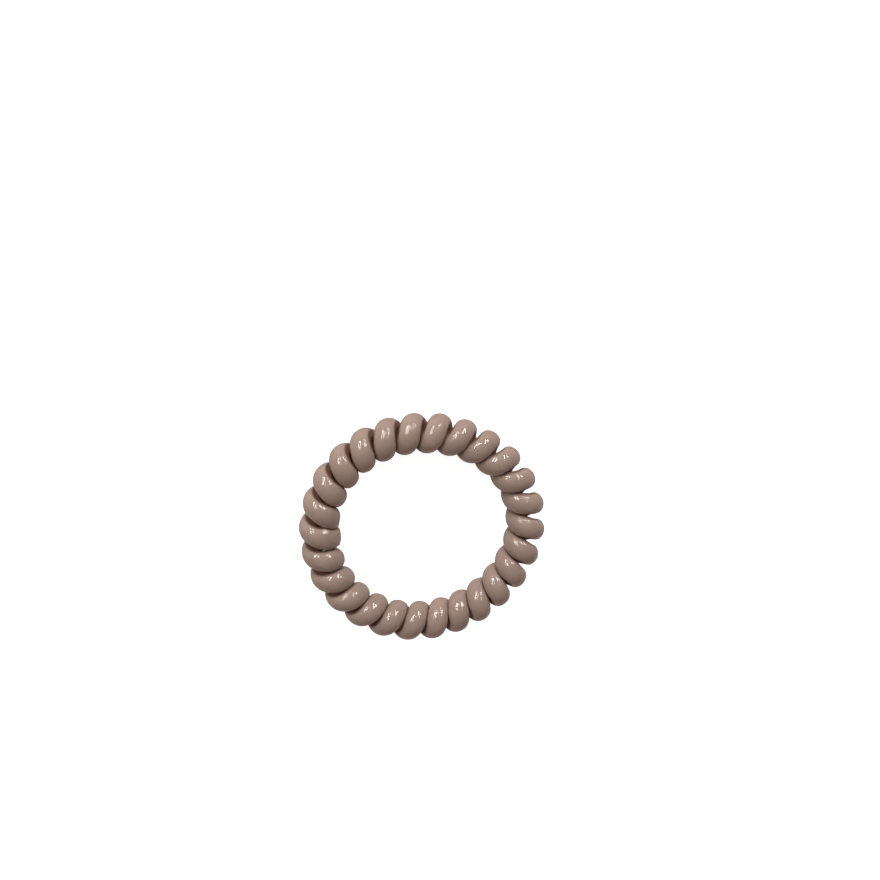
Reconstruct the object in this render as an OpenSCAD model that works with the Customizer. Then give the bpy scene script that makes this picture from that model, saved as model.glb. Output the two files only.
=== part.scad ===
// Spiral hair tie: one plastic cord wound into a left-handed coil, the coil closed into a ring
// and the ends of the cord fused together. Millimetres. It lies flat on z = 0, round the Z axis.

/* [Ring] */
// Diameter of the ring through the middle of its coil
ring_d = 46; // [40:0.5:56]
// Angle round the ring, from +X, at which the first turn is outermost
first_turn_angle = -0.45; // [-7:0.05:7]

/* [Coil] */
// Diameter of the open core, which is the rod that the cord is wound on
core_d = 1.2; // [0.5:0.1:4]
// Gap that stays between neighbouring turns where the ring presses them together
turn_gap = 0.05; // [0.02:0.01:1]

/* [Cord] */
// Width of the cord, measured along the coil
cord_w = 4.75; // [3.7:0.05:6]
// Thickness of the cord, measured from the core outwards
cord_t = 3.85; // [2.5:0.05:4.5]
// Width that a turn gives up on the inner side of the ring, where its neighbours press on it
press = 0.15; // [0:0.05:0.4]

/* [Weld] */
// Angle round the ring of the turn that is fused to the turn before it, on the inner side
weld_angle = 187; // [0:1:360]
// Height by which the fused place stands out of the cord
weld_bulge = 0.3; // [0:0.05:0.6]
// How far the fused place fills the groove between its two turns: 0 leaves it open
weld_fill = 3; // [0:0.5:4]
// Length of cord that the fused place takes up
weld_l = 6; // [3:0.5:12]

/* [Fineness] */
// Sections of the cord in each turn
turn_steps = 16; // [12:4:20]
// Sides of each section
cord_sides = 12; // [8:2:14]

/* [Hidden] */

// Columns of the two tables of waves: how many waves go round the ring, how high they are
// and the angle of the first crest
COUNT = 0;
HEIGHT = 1;
CREST = 2;
// How far the turns drift round the ring from an even spacing, in degrees
DRIFT = [
    [1, 0.5, 58],
    [2, 1.1, 64]
];
// How far the ring is out of round, as shares of its radius
OUT_OF_ROUND = [
    [2, 0.007, 7],
    [3, 0.010, 14]
];

ring_r = ring_d / 2;
// Circle that the middle of the cord follows round the core, and the outside of the coil
wind_r = (core_d + cord_t) / 2;
wind_l = 2 * PI * wind_r;
coil_r = core_d / 2 + cord_t;

// The coil has as many turns as fit side by side, pressed, on the inner side of an even ring
turns = floor(2 * PI * (ring_r - wind_r) / along_room(cord_w - press + turn_gap));
turn_l = norm([wind_l, 2 * PI * ring_r / turns]);

// Middle of the fused place, on the inner side of the turn that lies at weld_angle. To both
// sides it falls to a third in the angle weld_fall, and to nothing in twice that.
weld_turn = round((weld_angle - first_turn_angle) * turns / 360 - 0.5);
weld_wind = 360 * (weld_turn + 0.5);
weld_fall = 360 * weld_l / 4 / turn_l;

function sum(list, i = 0) = i < len(list) ? list[i] + sum(list, i + 1) : 0;

// Height of all the waves of a table together, at an angle round the ring, and their slope
function waves(table, angle) =
    sum([for (row = table) row[HEIGHT] * cos(row[COUNT] * (angle - row[CREST]))]);
function slope(table, angle) =
    sum([for (row = table)
        -row[COUNT] * row[HEIGHT] * PI / 180 * sin(row[COUNT] * (angle - row[CREST]))]);

// Angle round the ring at a winding angle, which grows by 360 with each turn and is 0
// where the cord is on the outer side of the ring and 90 where it is on top
function even_angle(wind) = first_turn_angle + wind / turns;
function ring_angle(wind) = even_angle(wind) + waves(DRIFT, even_angle(wind));
function ring_radius(wind) = ring_r * (1 + waves(OUT_OF_ROUND, ring_angle(wind)));

// The cord leans across the coil, so the room that it takes along the coil is more than
// its own width. These turn the one measure into the other.
function along_room(square) = square / cos(asin(square / wind_l));
function square_room(along) = along * cos(atan2(along, wind_l));

// Width of the cord at a winding angle: as it was made, or flatter where its neighbours
// leave it less room
function cord_width(wind) =
    let (
        even_room = 2 * PI * (ring_radius(wind) + wind_r * cos(wind)) / turns,
        room = even_room * (1 + slope(DRIFT, even_angle(wind)))
    )
    min(cord_w, square_room(room) - turn_gap);

// Share of the fused place that is left at a winding angle, from 1 in its middle to 0
function weld_share(wind, middle = weld_wind) =
    let (
        lap = 360 * turns,
        apart = abs(wind - middle) % lap,
        away = min(apart, lap - apart)
    )
    exp(-pow(away / weld_fall, 2));

// Power of the section's outline: 2 is an ellipse, and more is squarer. The fused turn
// fills out towards the turn before it, which fills out towards the fused turn.
function outline_power(wind, s) =
    cos(s) <= 0 ? 2 : 2 + weld_fill * weld_share(wind, weld_wind - (sin(s) > 0 ? 360 : 0));
function rounded(part, power) = sign(part) * pow(abs(part), 2 / power);

// One section of the cord: an ellipse between the direction out of the core and the
// direction sideways, square to the way that the cord runs
function cord_section(wind) =
    let (
        angle = ring_angle(wind),
        spoke = [cos(angle), sin(angle), 0],
        along = [-sin(angle), cos(angle), 0],
        up = [0, 0, 1],
        outwards = cos(wind) * spoke + sin(wind) * up,
        onwards = -sin(wind) * spoke + cos(wind) * up,
        r = ring_radius(wind),
        run = (r + wind_r * cos(wind)) * along + turns * wind_r * onwards,
        sideways = cross(run, outwards) / norm(run),
        middle = r * spoke + wind_r * outwards + coil_r * up,
        half_w = cord_width(wind) / 2
    )
    [for (side = [0:cord_sides - 1])
        let (
            s = 360 * side / cord_sides,
            half_t = cord_t / 2 + (cos(s) > 0 ? weld_bulge * weld_share(wind) : 0),
            power = outline_power(wind, s)
        )
        middle + outwards * half_t * rounded(cos(s), power)
            + sideways * half_w * rounded(sin(s), power)];

// The cord, swept round the ring through all its sections and back into the first one
module coil() {
    sections = turns * turn_steps;
    points = [for (i = [0:sections - 1]) each cord_section(360 * i / turn_steps)];
    faces = [for (i = [0:sections - 1], side = [0:cord_sides - 1])
        let (
            here = i * cord_sides,
            ahead = (i + 1) % sections * cord_sides,
            beside = (side + 1) % cord_sides
        )
        each [
            [here + side, ahead + side, ahead + beside],
            [here + side, ahead + beside, here + beside]
        ]];
    color([0.68, 0.56, 0.52]) polyhedron(points, faces, convexity = 20);
}

coil();
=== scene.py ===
# Spiral hair tie: one glossy plastic cord wound into a coil, the coil closed into a ring.
# The ring lies flat on a pale floor. Shapes are worked out in millimetres, as whole arrays,
# and go into the meshes in metres.
import math

import bpy
import numpy as np
from mathutils import Matrix, Vector


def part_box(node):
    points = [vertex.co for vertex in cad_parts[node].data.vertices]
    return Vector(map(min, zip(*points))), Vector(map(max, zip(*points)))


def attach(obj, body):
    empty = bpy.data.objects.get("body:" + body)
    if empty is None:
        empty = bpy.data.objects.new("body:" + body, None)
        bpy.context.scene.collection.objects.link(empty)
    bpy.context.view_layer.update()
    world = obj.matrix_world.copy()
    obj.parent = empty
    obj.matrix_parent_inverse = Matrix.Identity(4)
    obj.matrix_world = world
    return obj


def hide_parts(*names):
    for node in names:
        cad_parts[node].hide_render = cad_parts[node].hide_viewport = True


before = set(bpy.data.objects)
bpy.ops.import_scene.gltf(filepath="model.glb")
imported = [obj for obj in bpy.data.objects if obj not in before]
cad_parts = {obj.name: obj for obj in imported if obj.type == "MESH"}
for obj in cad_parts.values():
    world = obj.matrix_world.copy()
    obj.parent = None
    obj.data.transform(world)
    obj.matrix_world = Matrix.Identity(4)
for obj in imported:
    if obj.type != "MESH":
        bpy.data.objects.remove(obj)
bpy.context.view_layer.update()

mm = 0.001
print("frame loaded:", sorted(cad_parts))

# The cord and the way that it is wound. Angles are degrees round the ring, seen from above.
# A wave is (how many go round the ring, how high it is, the angle of its first crest).
cord = {
    "width": 4.75,
    "thickness": 3.85,
    "turns": 26,
    "spread": 0.30,  # how much wider a turn is on the inner side, squeezed against the next
    "firstTurn": -0.45,
    "drift": [(1, 0.5, 58), (2, 1.1, 64)],  # waves of the spacing of the turns, in degrees
    "outOfRound": [(2, 0.007, 7), (3, 0.010, 14)],  # waves of the ring, shares of its radius
    "easing": 0.03,  # how softly a pressed turn gives way
    "ringsPerTurn": 76,
    "sides": 36,
    # Unevenness of the drawn cord: length of a wave along the cord, its height, its phase
    "thicker": [(23.7, 0.018, 0.4), (9.1, 0.012, 2.1), (41.0, 0.020, 4.0)],
    "wider": [(17.3, 0.014, 1.7), (7.3, 0.010, 0.2), (35.0, 0.016, 5.1)],
}

# The place where the ends of the cord are fused, on the inner side of one turn, with the
# groove between it and the turn before it filled
weld = {
    "ringAngle": 187,
    "height": 0.3,
    "fill": 3,  # how much squarer the outline gets towards the groove
    "length": 6,
    # Small rises on the fused turn: degrees of winding from the weld, degrees round the
    # outline from its outermost point, radius, height, how much duller its skin is; the
    # dullness also sets how strongly a painted highlight pales the skin
    "rises": [(-80, -62, 0.95, 0.18, 0.17), (-12, 26, 0.42, 0.26, 0.1)],
}


def wavesOf(table, angle):
    # Sum of height * cos(count * (angle - crest)), and its slope for each degree of angle
    value = sum(h * np.cos(np.radians(n * (angle - crest))) for n, h, crest in table)
    slope = sum(-n * h * np.sin(np.radians(n * (angle - crest))) for n, h, crest in table)
    return value, np.radians(slope)


def alongCord(table, place):
    # Sum of height * sin(2 pi * place / length + phase)
    return sum(h * np.sin(2 * np.pi * place / length + phase) for length, h, phase in table)


def softLeast(a, b, easing):
    # The smaller of two lengths, with the corner between them eased into a short curve
    return (a + b - np.sqrt((a - b) ** 2 + easing**2)) / 2


def column(values):
    # A row of values stood up as a column, to go with whole rings of points
    return np.asarray(values)[:, None]


def unit(vectors):
    # Each vector divided by its own length
    return vectors / np.linalg.norm(vectors, axis=-1, keepdims=True)


def shorterWay(wind, start):
    # Degrees of winding from start to wind, by the shorter way round the closed cord
    lap = 360 * cord["turns"]
    return (wind - start + lap / 2) % lap - lap / 2


def layRoute(low, high):
    # The cord's middle goes round the core of the coil while the coil goes round the ring:
    # ringRadius * spoke + windRadius * (cos(wind) * spoke + sin(wind) * up). Each array has
    # one row for each ring of points, and the first row is at the weld.
    turns, rings = cord["turns"], cord["turns"] * cord["ringsPerTurn"]
    coilRadius = (high.z - low.z) / 2 / mm
    windRadius = coilRadius - cord["thickness"] / 2
    atEnds, _ = wavesOf(cord["outOfRound"], np.array([0, 180]))
    ringRadius = ((high.x - low.x) / 2 / mm - coilRadius) / (1 + atEnds.mean())
    turnLength = 2 * np.pi * math.hypot(windRadius, ringRadius / turns)

    weldTurn = round((weld["ringAngle"] - cord["firstTurn"]) * turns / 360 - 0.5)
    weldWind = 360 * (weldTurn + 0.5)
    wind = weldWind + 360 * np.arange(rings) / cord["ringsPerTurn"]
    evenAngle = cord["firstTurn"] + wind / turns
    drift, driftSlope = wavesOf(cord["drift"], evenAngle)
    angle = evenAngle + drift
    radius = ringRadius * (1 + wavesOf(cord["outOfRound"], angle)[0])

    turned, wound = np.radians(angle), np.radians(wind)
    up = np.array([0.0, 0.0, 1.0])
    spoke = np.stack([np.cos(turned), np.sin(turned), 0 * turned], axis=-1)
    tangent = np.stack([-np.sin(turned), np.cos(turned), 0 * turned], axis=-1)
    outwards = column(np.cos(wound)) * spoke + column(np.sin(wound)) * up
    onwards = column(np.cos(wound)) * up - column(np.sin(wound)) * spoke
    fromAxis = radius + windRadius * np.cos(wound)
    run = column(fromAxis) * tangent + turns * windRadius * onwards

    # Room of a turn between its neighbours, first along the coil and then square to the cord
    room = 2 * np.pi * fromAxis / turns * (1 + driftSlope)
    squareRoom = room * np.cos(np.arctan2(room, 2 * np.pi * windRadius))
    # Winding angle in which the weld falls to a third
    fall = 360 * weld["length"] / 4 / turnLength
    return {
        "wound": wound,
        "along": turnLength * np.arange(rings) / cord["ringsPerTurn"],
        "middle": column(radius) * spoke + windRadius * outwards + coilRadius * up,
        "outwards": outwards,
        "sideways": np.cross(run, outwards) / np.linalg.norm(run, axis=-1, keepdims=True),
        "room": squareRoom,
        "fromWeld": shorterWay(wind, weldWind),
        # Share of the fused place, on the fused turn and on the one before it
        "fused": np.exp(-((shorterWay(wind, weldWind) / fall) ** 2)),
        "fusedBefore": np.exp(-((shorterWay(wind, weldWind - 360) / fall) ** 2)),
    }


def cordSizes(route):
    # Width and half the thickness of the cord, both a little uneven away from the weld. The
    # width spreads on the inner side of the ring and is pressed narrower where turns meet.
    plain, along = 1 - route["fused"], route["along"]
    # Share of the squeeze: 0 on the outer side of the ring, 1 on the inner side, eased between
    inner = np.clip(0.5 - np.cos(route["wound"]), 0, 1)
    squeezed = cord["spread"] * inner**2 * (3 - 2 * inner)
    madeWidth = cord["width"] + squeezed + plain * alongCord(cord["wider"], along)
    width = softLeast(madeWidth, route["room"], cord["easing"])
    halfThick = cord["thickness"] / 2 + plain * alongCord(cord["thicker"], along) / 2
    return column(width), column(halfThick)


def raiseSkin(points, normal, fromWeld):
    # Small rises of the fused turn, each height * exp(-(distance / radius)^2) along the
    # normal. Also gives how far each point is on a rise, from 0 to 1, and how much duller.
    raised, dull = np.zeros(points.shape[:2]), np.zeros(points.shape[:2])
    onFusedTurn = column(np.abs(fromWeld)) < 180
    for windPlace, outlinePlace, radius, height, duller in weld["rises"]:
        ring = int(np.abs(fromWeld - windPlace).argmin())
        side = round(outlinePlace / 360 * cord["sides"]) % cord["sides"]
        distance = np.linalg.norm(points - points[ring, side], axis=-1)
        bell = np.exp(-((distance / radius) ** 2)) * onFusedTurn
        raised = np.maximum(raised, bell)
        dull = np.maximum(dull, duller * bell)
        points = points + (height * bell)[..., None] * normal
    return points, raised, dull


def windCord(low, high):
    # Points of the cord, rings by sides, and the details that its material asks for. The
    # outline is an ellipse square to the way that the cord runs, and squarer where it is fused.
    route = layRoute(low, high)
    width, halfThick = cordSizes(route)
    fused, fusedBefore = column(route["fused"]), column(route["fusedBefore"])
    outwards, sideways = route["outwards"][:, None], route["sideways"][:, None]

    s = 2 * np.pi * np.arange(cord["sides"]) / cord["sides"]
    cosS, sinS = np.cos(s)[None, :], np.sin(s)[None, :]
    share = np.where(sinS > 0, fusedBefore, fused) * (cosS > 0)
    power = 2 / (2 + weld["fill"] * share)
    outPart = np.sign(cosS) * np.abs(cosS) ** power
    sidePart = np.sign(sinS) * np.abs(sinS) ** power
    outPlace = (halfThick + (cosS > 0) * weld["height"] * fused) * outPart
    sidePlace = width / 2 * sidePart
    points = (
        route["middle"][:, None]
        + outPlace[..., None] * outwards
        + sidePlace[..., None] * sideways
    )
    normal = unit(
        (cosS * width)[..., None] * outwards + (sinS * cord["thickness"])[..., None] * sideways
    )
    points, raised, dull = raiseSkin(points, normal, route["fromWeld"])

    shape = outPlace.shape
    along = column(route["along"])
    depth = column(np.clip((1 - np.cos(route["wound"])) / 1.3, 0, 1) ** 2)
    details = {
        # Place on the straight cord before it was wound, in millimetres
        "cordPlace": np.stack([np.broadcast_to(along, shape), sidePlace, outPlace], axis=-1),
        # How far a point faces the core of the coil, from -1 outside to 1 at the core
        "inwards": np.broadcast_to(-cosS, shape),
        # How far in from the outer side of the ring a point lies: 0 there, 1 well inside
        "depth": np.broadcast_to(depth, shape),
        # How much duller the skin is than elsewhere; on the fused turn's rises it also places a
        # painted highlight
        "dull": dull,
        # How far a point is on the fused place or on a rise of it, from 0 to 1
        "weldShare": np.maximum(np.maximum(fused, fusedBefore) * (cosS > 0), raised),
    }
    return points, details


def addObject(name, data):
    # A new object in the scene
    made = bpy.data.objects.new(name, data)
    bpy.context.scene.collection.objects.link(made)
    return made


def gridMesh(name, points, details):
    # A grid of points, rings by sides, closed both ways, with its faces turned outwards
    rings, sides = points.shape[:2]
    ring, side = np.meshgrid(np.arange(rings), np.arange(sides), indexing="ij")
    nextRing, nextSide = (ring + 1) % rings, (side + 1) % sides
    corners = [
        ring * sides + side,
        ring * sides + nextSide,
        nextRing * sides + nextSide,
        nextRing * sides + side,
    ]
    corners = np.stack(corners, axis=-1).reshape(-1, 4)
    mesh = bpy.data.meshes.new(name)
    mesh.vertices.add(rings * sides)
    mesh.vertices.foreach_set("co", (points * mm).astype(np.float32).reshape(-1))
    mesh.loops.add(corners.size)
    mesh.loops.foreach_set("vertex_index", corners.astype(np.int32).reshape(-1))
    mesh.polygons.add(len(corners))
    mesh.polygons.foreach_set("loop_start", (np.arange(len(corners)) * 4).astype(np.int32))
    mesh.update(calc_edges=True)
    mesh.shade_smooth()
    for detail, values in details.items():
        kind, field = ("FLOAT_VECTOR", "vector") if values.ndim == 3 else ("FLOAT", "value")
        layer = mesh.attributes.new(detail, kind, "POINT")
        layer.data.foreach_set(field, values.astype(np.float32).reshape(-1))
    return addObject(name, mesh)


# Finish of the cord. Colours are linear. Sizes and heights are in millimetres. A groove is
# told by how far the skin faces the core of the coil, from -1 outside to 1 at the core. The
# groove colours are painted shade, with a painted red glow of light through the plastic deep
# down.
cordFinish = {
    "pale": (0.345, 0.250, 0.206, 1),
    "body": (0.295, 0.212, 0.173, 1),
    "patchShare": 0.8,  # how much of the paleness comes in patches, and how much in streaks
    "streakShare": 0.25,
    # Painted highlight: the base colour pales towards white on the fused turn's rises
    "weldPaintedHighlight": (0.72, 0.62, 0.56, 1),
    "weldHighlightShare": 0.75,
    "weldHighlightDull": (0.07, 0.17),  # a painted highlight pales the fused skin between these two dullnesses
    # Painted shade in the grooves between turns: a dark rim, a painted red glow of light through
    # the plastic deep down, and lighter painted shade on the inner side of the ring
    "paintedShadeRim": (0.125, 0.066, 0.048, 1),
    "paintedGlowDeep": (0.44, 0.21, 0.15, 1),
    "paintedShadeInner": (0.24, 0.145, 0.112, 1),  # painted shade in the grooves on the inner side of the ring
    "paintedShadeEdge": (-0.40, -0.22),  # where the body's colour turns into the painted shade of the rim
    "paintedShadeFall": (0.0, 0.3),  # where the rim's painted shade turns into the painted glow deep down
    "patchSize": 7.0,
    "peelSize": 0.45,
    "grainSize": 0.9,
    "streakSize": 0.5,
    "streakStretch": 9,
    "peelHeight": 0.007,
    "grainTimes": 0.8,  # height of the grain and of the streaks, compared with the peel
    "streakTimes": 0.25,
    "calmEdge": (0.2, 0.9),  # shares of the fused place between which the relief calms down
    "calmRelief": 0.15,  # share of the relief that is left there
    "roughness": (0.02, 0.06),
    "grooveRoughness": 0.4,
    "ior": 1.5,
}
noiseBody = (0.3, 0.7)  # most values of a noise lie between these two


class Nodes:
    # Short way to add nodes to a tree and to link them
    def __init__(self, tree):
        self.tree = tree
        tree.nodes.clear()

    def add(self, kind, settings=None, inputs=None):
        # Inputs go by name or by place. A socket is linked, and any other value is set.
        node = self.tree.nodes.new(kind)
        for name, value in (settings or {}).items():
            setattr(node, name, value)
        for name, value in (inputs or {}).items():
            if isinstance(value, bpy.types.NodeSocket):
                self.tree.links.new(value, node.inputs[name])
            else:
                node.inputs[name].default_value = value
        return node

    def attribute(self, name, output="Fac"):
        return self.add("ShaderNodeAttribute", {"attribute_name": name}).outputs[output]

    def noise(self, vector, size, octaves):
        inputs = {"Vector": vector, "Scale": 1 / size, "Detail": octaves}
        return self.add("ShaderNodeTexNoise", inputs=inputs).outputs["Fac"]

    def spread(self, value, low, high, toLow, toHigh):
        # Straight line from toLow at low to toHigh at high, level beyond both
        ends = {"From Min": low, "From Max": high, "To Min": toLow, "To Max": toHigh}
        return self.add("ShaderNodeMapRange", inputs={"Value": value, **ends}).outputs["Result"]

    def mixColour(self, share, first, second):
        # first * (1 - share) + second * share
        inputs = {0: share, 6: first, 7: second}
        return self.add("ShaderNodeMix", {"data_type": "RGBA"}, inputs).outputs[2]

    def sum(self, first, second, secondTimes=1.0):
        # first + second * secondTimes
        inputs = {0: second, 1: secondTimes, 2: first}
        return self.add("ShaderNodeMath", {"operation": "MULTIPLY_ADD"}, inputs).outputs[0]


def makeCordMaterial():
    # Elastic plastic: a smooth glossy skin with fine orange peel and faint drawing streaks,
    # duller down in the grooves, where painted shade turns it brown, with a painted red glow
    # deeper down, smoother where it was fused, and duller on the fused turn's rises, where a
    # painted highlight pales it
    material = bpy.data.materials.new("gloss_cord")
    material.use_nodes = True
    nodes = Nodes(material.node_tree)
    finish = cordFinish
    place = nodes.add("ShaderNodeTexCoord").outputs["Object"]
    cordPlace = nodes.attribute("cordPlace", "Vector")
    inwards, depth = nodes.attribute("inwards"), nodes.attribute("depth")
    fused, dull = nodes.attribute("weldShare"), nodes.attribute("dull")

    patches = nodes.noise(place, finish["patchSize"] * mm, octaves=3)
    peel = nodes.noise(place, finish["peelSize"] * mm, octaves=1.5)
    grain = nodes.noise(place, finish["grainSize"] * mm, octaves=1)
    stretched = nodes.add(
        "ShaderNodeMapping",
        inputs={"Vector": cordPlace, "Scale": (1 / finish["streakStretch"], 1, 1)},
    ).outputs["Vector"]
    streaks = nodes.noise(stretched, finish["streakSize"], octaves=2)

    paleness = nodes.spread(patches, *noiseBody, 0, finish["patchShare"])
    paleness = nodes.sum(paleness, streaks, finish["streakShare"])
    colour = nodes.mixColour(paleness, finish["body"], finish["pale"])
    # Painted shade in the grooves: a dark rim, a painted red glow deeper in, and lighter painted
    # shade on the inner side of the ring
    grooveShadeShare = nodes.spread(inwards, *finish["paintedShadeEdge"], 0, 1)
    deepGlowShare = nodes.spread(inwards, *finish["paintedShadeFall"], 0, 1)
    paintedShade = nodes.mixColour(deepGlowShare, finish["paintedShadeRim"], finish["paintedGlowDeep"])
    paintedShade = nodes.mixColour(depth, paintedShade, finish["paintedShadeInner"])
    colour = nodes.mixColour(grooveShadeShare, colour, paintedShade)
    # Painted highlight on the fused turn's rises, where the skin is dullest
    weldHighlight = nodes.spread(dull, *finish["weldHighlightDull"], 0, finish["weldHighlightShare"])
    colour = nodes.mixColour(weldHighlight, colour, finish["weldPaintedHighlight"])

    roughness = nodes.spread(peel, *noiseBody, *finish["roughness"])
    roughness = nodes.sum(roughness, dull)
    roughness = nodes.sum(roughness, grooveShadeShare, finish["grooveRoughness"])

    height = nodes.sum(peel, grain, finish["grainTimes"])
    height = nodes.sum(height, streaks, finish["streakTimes"])
    relief = nodes.spread(fused, *finish["calmEdge"], 1, finish["calmRelief"])
    bump = nodes.add(
        "ShaderNodeBump",
        inputs={"Height": height, "Strength": relief, "Distance": finish["peelHeight"] * mm},
    ).outputs["Normal"]

    shader = nodes.add(
        "ShaderNodeBsdfPrincipled",
        inputs={
            "Base Color": colour,
            "Roughness": roughness,
            "IOR": finish["ior"],
            "Normal": bump,
        },
    )
    nodes.add("ShaderNodeOutputMaterial", inputs={"Surface": shader.outputs["BSDF"]})
    return material


# The floor, in metres. To the camera alone it glows, which keeps it as pale as in the photograph.
floorLook = {
    "radius": 3.0,
    "corners": 96,
    "colour": (0.66, 0.60, 0.57, 1),
    "roughness": 0.75,
    "gloss": 0.2,
    "glow": 0.92,
}


def makeFloor():
    # A plain pale disc, one face with its corners at radius * (cos(turned), sin(turned))
    corners = floorLook["corners"]
    turned = 2 * np.pi * np.arange(corners) / corners
    rim = floorLook["radius"] * np.stack([np.cos(turned), np.sin(turned), 0 * turned], axis=-1)
    mesh = bpy.data.meshes.new("floor")
    mesh.from_pydata(rim.tolist(), [], [list(range(corners))])
    floor = addObject("floor", mesh)
    material = bpy.data.materials.new("pale_floor")
    material.use_nodes = True
    nodes = Nodes(material.node_tree)
    seen = nodes.add("ShaderNodeLightPath").outputs["Is Camera Ray"]
    shader = nodes.add(
        "ShaderNodeBsdfPrincipled",
        inputs={
            "Base Color": floorLook["colour"],
            "Roughness": floorLook["roughness"],
            "Specular IOR Level": floorLook["gloss"],
            "Emission Color": (1.0, 1.0, 1.0, 1),
            "Emission Strength": nodes.spread(seen, 0, 1, 0, floorLook["glow"]),
        },
    )
    nodes.add("ShaderNodeOutputMaterial", inputs={"Surface": shader.outputs["BSDF"]})
    mesh.materials.append(material)


# The camera, as the photograph shows the ring: how far the view leans from straight down and
# turns aside, in degrees, how far away it is, in millimetres, its focal length in pixels, and
# the pixel that the ring's middle falls on
photoView = {
    "lean": 19.68,
    "turn": 8.04,
    "distance": 260.7,
    "focalPixels": 1166.7,
    "pictureSize": 880,
    "middlePixel": (422.5, 528.6),
    "sensor": 36,
}


def viewAxes():
    # Right, up and backwards of the camera, in the frame
    lean, turn = math.radians(photoView["lean"]), math.radians(photoView["turn"])
    aside = math.sin(turn)
    right = Vector((math.cos(turn), aside * math.sin(lean), aside * math.cos(lean)))
    up = Vector((0, math.cos(lean), -math.sin(lean)))
    return right, up, right.cross(up)


def placement(right, up, back, place):
    # Matrix of something at a place, with its own axes along these three directions
    rows = [(right[i], up[i], back[i], place[i]) for i in range(3)]
    return Matrix(rows + [(0, 0, 0, 1)])


def makeCamera(target):
    # Place: target + back * distance, moved aside until the target falls on its pixel
    right, up, back = viewAxes()
    half, (x, y) = photoView["pictureSize"] / 2, photoView["middlePixel"]
    scale = photoView["distance"] / photoView["focalPixels"]
    place = target + mm * (
        back * photoView["distance"] - right * (x - half) * scale + up * (y - half) * scale
    )
    data = bpy.data.cameras.new("photo_camera")
    data.sensor_width = photoView["sensor"]
    data.lens = photoView["sensor"] * photoView["focalPixels"] / photoView["pictureSize"]
    data.clip_start, data.clip_end = 0.01, 20
    camera = addObject("photo_camera", data)
    camera.matrix_world = placement(right, up, back, place)
    bpy.context.scene.camera = camera


# Lights: direction from the ring as (right, up, towards the camera) in the camera's view,
# distance, width and height in metres, power in watts, whether the lamp gives the cord its
# glints (True) or its light (False), and colour
white, warm = (1.0, 1.0, 1.0), (1.0, 0.84, 0.80)
lights = {
    "tube_left_outer": ((-0.44, 0.44, 0.78), 0.6, 0.016, 0.46, 1.5, True, white),
    "tube_left_inner": ((-0.22, 0.47, 0.85), 0.6, 0.016, 0.46, 1.5, True, white),
    "tube_right_inner": ((0.40, 0.64, 0.65), 0.6, 0.016, 0.38, 1.35, True, white),
    "tube_right_outer": ((0.60, 0.61, 0.52), 0.6, 0.016, 0.24, 1.0, True, white),
    "lamp_between": ((0.08, 0.55, 0.83), 0.6, 0.06, 0.016, 0.16, True, white),
    "lamp_low": ((0.50, 0.23, 0.83), 0.6, 0.02, 0.02, 0.09, True, white),
    "key": ((0.06, 0.60, 0.80), 0.9, 0.90, 0.50, 9.2, False, white),
    "side_left": ((-0.85, 0.15, 0.50), 0.7, 0.40, 0.40, 1.5, False, white),
    "side_right": ((0.85, 0.10, 0.50), 0.7, 0.40, 0.40, 0.4, False, white),
    "front_low": ((-0.03, -0.98, -0.22), 0.7, 0.70, 0.12, 1.45, False, warm),
}


def makeLights(target):
    # Rectangles at target + direction * distance, each with its front to the target
    right, up, back = viewAxes()
    for name, (direction, distance, width, height, power, mirrored, colour) in lights.items():
        towards = (right * direction[0] + up * direction[1] + back * direction[2]).normalized()
        data = bpy.data.lights.new(name, "AREA")
        data.shape = "RECTANGLE"
        data.size, data.size_y = width, height
        data.energy, data.color = power, colour
        light = addObject(name, data)
        across = up.cross(towards).normalized()
        upright = towards.cross(across)
        light.matrix_world = placement(across, upright, towards, target + towards * distance)
        light.visible_camera = False
        light.visible_glossy = mirrored
        light.visible_diffuse = not mirrored


def makeWorld(fill, mirrored, backdrop):
    # Even warm fill light, which the cord mirrors less strongly, and a pale backdrop where
    # the camera looks past the floor
    world = bpy.data.worlds.new("studio")
    bpy.context.scene.world = world
    world.use_nodes = True
    nodes = Nodes(world.node_tree)
    path = nodes.add("ShaderNodeLightPath").outputs
    colour = nodes.mixColour(path["Is Camera Ray"], (*warm, 1), (*white, 1))
    strength = nodes.spread(path["Is Glossy Ray"], 0, 1, fill, mirrored)
    strength = nodes.sum(strength, path["Is Camera Ray"], backdrop - fill)
    background = nodes.add("ShaderNodeBackground", inputs={"Color": colour, "Strength": strength})
    nodes.add("ShaderNodeOutputWorld", inputs={"Surface": background.outputs["Background"]})


lowCorner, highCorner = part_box("coil")
ringMiddle = Vector((0, 0, (lowCorner.z + highCorner.z) / 2))
makeCamera(ringMiddle)
makeLights(ringMiddle)
makeWorld(fill=0.12, mirrored=0.08, backdrop=1.0)
makeFloor()
bpy.context.scene.view_settings.view_transform = "Standard"
print("camera, lights and floor made")

coil = gridMesh("coiled_cord", *windCord(lowCorner, highCorner))
coil.data.materials.append(makeCordMaterial())
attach(coil, "root")
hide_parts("coil")
print("cord wound:", len(coil.data.polygons), "faces")
